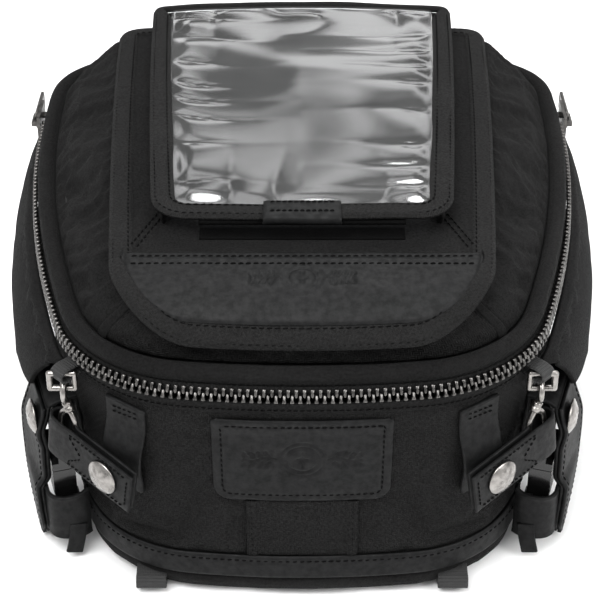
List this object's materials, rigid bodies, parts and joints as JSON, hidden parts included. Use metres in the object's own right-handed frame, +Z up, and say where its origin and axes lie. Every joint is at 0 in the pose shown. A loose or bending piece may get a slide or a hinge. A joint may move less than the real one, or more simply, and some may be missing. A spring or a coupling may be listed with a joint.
{
  "type": "tank bag",
  "caption": "Soft motorcycle tank bag with a zipped lid, flap pocket with clear map window, side wings, leather straps with snap conchos and side-release buckles.",
  "frame": {"origin": "centre of the underside, on the mirror plane", "axes": "+Z up, +Y away from the rider towards the handlebars, +X to the rider's right"},
  "size_m": [0.3038, 0.3103, 0.1785],
  "materials": {
    "ballistic_nylon": "coarse woven, matt",
    "smooth_nylon": "fine woven, matt",
    "twill_binding": "herringbone tape",
    "webbing": "ribbed webbing",
    "padding": "foam with liner",
    "base_fabric": "padded, matt",
    "grip_sheet": "matt",
    "board": "matt",
    "leather": "oiled, matt",
    "zip_tape": "woven tape",
    "zip_metal": "gunmetal",
    "silver": "polished",
    "buckle_plastic": "gloss",
    "clear_vinyl": "clear, wavy",
    "hook_loop": "hook and loop"
  },
  "bodies": {
    "shell": {"anchor_ears": "leather", "base_board": "board", "base_pad": "base_fabric", "body_lining": "padding", "body_zip_tape": "zip_tape", "body_zip_teeth": "zip_metal", "buckle_sockets": "buckle_plastic", "buckle_upper_webbing_left": "webbing", "buckle_upper_webbing_right": "webbing", "centre_sleeve": "ballistic_nylon", "corner_bindings": "twill_binding", "d_rings": "silver", "far_panel": "ballistic_nylon", "keeper_loops": "leather", "leather_band": "leather", "lid_hinge_strip": "smooth_nylon", "mount_straps": "webbing", "nonslip_sheet": "grip_sheet", "rider_panel": "ballistic_nylon", "rider_patch": "leather", "sewn_webbing": "webbing", "side_hangers": "leather", "side_panels": "ballistic_nylon", "snap_studs": "silver"},
    "lid": {"lid_near_wall": "ballistic_nylon", "lid_side_walls": "smooth_nylon", "pocket_floor": "padding", "lid_zip_tape": "zip_tape", "lid_zip_teeth": "zip_metal", "lid_rim": "smooth_nylon", "pocket_loop_strip": "hook_loop"},
    "flap": {"flap_panel": "smooth_nylon", "flap_binding": "twill_binding", "flap_patch": "leather", "window_gusset": "smooth_nylon", "flap_closure_strips": "hook_loop"},
    "window": {"window_binding": "twill_binding", "clear_window": "clear_vinyl", "window_pull_tab": "leather", "window_hook_strip": "hook_loop"},
    "wing_left": {"wing_left": "smooth_nylon"},
    "hook_left": {"snap_hook_left": "silver"},
    "gate_left": {"hook_gate_left": "silver"},
    "tether_left": {"tether_strap_left": "leather", "tether_concho_left": "silver"},
    "strap_left": {"side_strap_left": "leather", "side_concho_left": "silver"},
    "plug_left": {"buckle_plug_left": "buckle_plastic"},
    "slider_left": {"zip_slider_left": "zip_metal"},
    "pull_left": {"slider_pull_left": "zip_metal"},
    "wing_right": {"wing_right": "smooth_nylon"},
    "hook_right": {"snap_hook_right": "silver"},
    "gate_right": {"hook_gate_right": "silver"},
    "tether_right": {"tether_strap_right": "leather", "tether_concho_right": "silver"},
    "strap_right": {"side_strap_right": "leather", "side_concho_right": "silver"},
    "plug_right": {"buckle_plug_right": "buckle_plastic"},
    "slider_right": {"zip_slider_right": "zip_metal"},
    "pull_right": {"slider_pull_right": "zip_metal"}
  },
  "joints": [
    {"name": "lid_open", "type": "hinge", "parent": "shell", "child": "lid", "pos_m": [0, 0.151, 0.121], "axis": [-1, 0, 0], "range_deg": [0, 95]},
    {"name": "flap_open", "type": "hinge", "parent": "lid", "child": "flap", "pos_m": [0, 0.1365, 0.1531], "axis": [-1, 0, 0], "range_deg": [0, 100]},
    {"name": "window_open", "type": "hinge", "parent": "flap", "child": "window", "pos_m": [0, 0.1388, 0.1661], "axis": [-1, 0, 0], "range_deg": [0, 80]},
    {"name": "wing_lift_left", "type": "hinge", "parent": "shell", "child": "wing_left", "pos_m": [-0.1066, -0.093, 0.109], "axis": [-0.1244, 0.9922, 0], "range_deg": [0, 25]},
    {"name": "hook_swing_left", "type": "hinge", "parent": "shell", "child": "hook_left", "pos_m": [-0.10508, -0.11764, 0.105], "axis": [-1, 0, 0], "range_deg": [0, 20]},
    {"name": "gate_open_left", "type": "hinge", "parent": "hook_left", "child": "gate_left", "pos_m": [-0.10508, -0.11244, 0.1], "axis": [1, 0, 0], "range_deg": [0, 15]},
    {"name": "tether_swing_left", "type": "hinge", "parent": "hook_left", "child": "tether_left", "pos_m": [-0.1095, -0.113, 0.077], "axis": [-0.1312, 0.1117, -0.985], "range_deg": [0, 75]},
    {"name": "strap_swing_left", "type": "hinge", "parent": "shell", "child": "strap_left", "pos_m": [-0.12556, -0.099, 0.0825], "axis": [-0.2917, 0.9565, 0], "range_deg": [0, 80]},
    {"name": "buckle_release_left", "type": "slide", "parent": "shell", "child": "plug_left", "axis": [0, 0, 1], "range_m": [0, 0.0112], "deforming": ["buckle_upper_webbing_left"]},
    {"name": "slider_run_left", "type": "hinge", "parent": "shell", "child": "slider_left", "pos_m": [0.4646, 0.081, 0.1245], "axis": [0, 0, 1], "range_deg": [0, 16]},
    {"name": "pull_flip_left", "type": "hinge", "parent": "slider_left", "child": "pull_left", "pos_m": [-0.14045, 0.08907, 0.1245], "axis": [0, 0, 1], "range_deg": [0, 150]},
    {"name": "wing_lift_right", "type": "hinge", "parent": "shell", "child": "wing_right", "pos_m": [0.1066, -0.093, 0.109], "axis": [-0.1244, -0.9922, 0], "range_deg": [0, 25]},
    {"name": "hook_swing_right", "type": "hinge", "parent": "shell", "child": "hook_right", "pos_m": [0.10508, -0.11764, 0.105], "axis": [-1, 0, 0], "range_deg": [0, 20]},
    {"name": "gate_open_right", "type": "hinge", "parent": "hook_right", "child": "gate_right", "pos_m": [0.10508, -0.11244, 0.1], "axis": [1, 0, 0], "range_deg": [0, 15]},
    {"name": "tether_swing_right", "type": "hinge", "parent": "hook_right", "child": "tether_right", "pos_m": [0.1095, -0.113, 0.077], "axis": [-0.1312, -0.1117, 0.985], "range_deg": [0, 75]},
    {"name": "strap_swing_right", "type": "hinge", "parent": "shell", "child": "strap_right", "pos_m": [0.12556, -0.099, 0.0825], "axis": [-0.2917, -0.9565, 0], "range_deg": [0, 80]},
    {"name": "buckle_release_right", "type": "slide", "parent": "shell", "child": "plug_right", "axis": [0, 0, 1], "range_m": [0, 0.0112], "deforming": ["buckle_upper_webbing_right"]},
    {"name": "slider_run_right", "type": "hinge", "parent": "shell", "child": "slider_right", "pos_m": [-0.4646, 0.081, 0.1245], "axis": [0, 0, -1], "range_deg": [0, 16]},
    {"name": "pull_flip_right", "type": "hinge", "parent": "slider_right", "child": "pull_right", "pos_m": [0.14045, 0.08907, 0.1245], "axis": [0, 0, -1], "range_deg": [0, 150]}
  ]
}
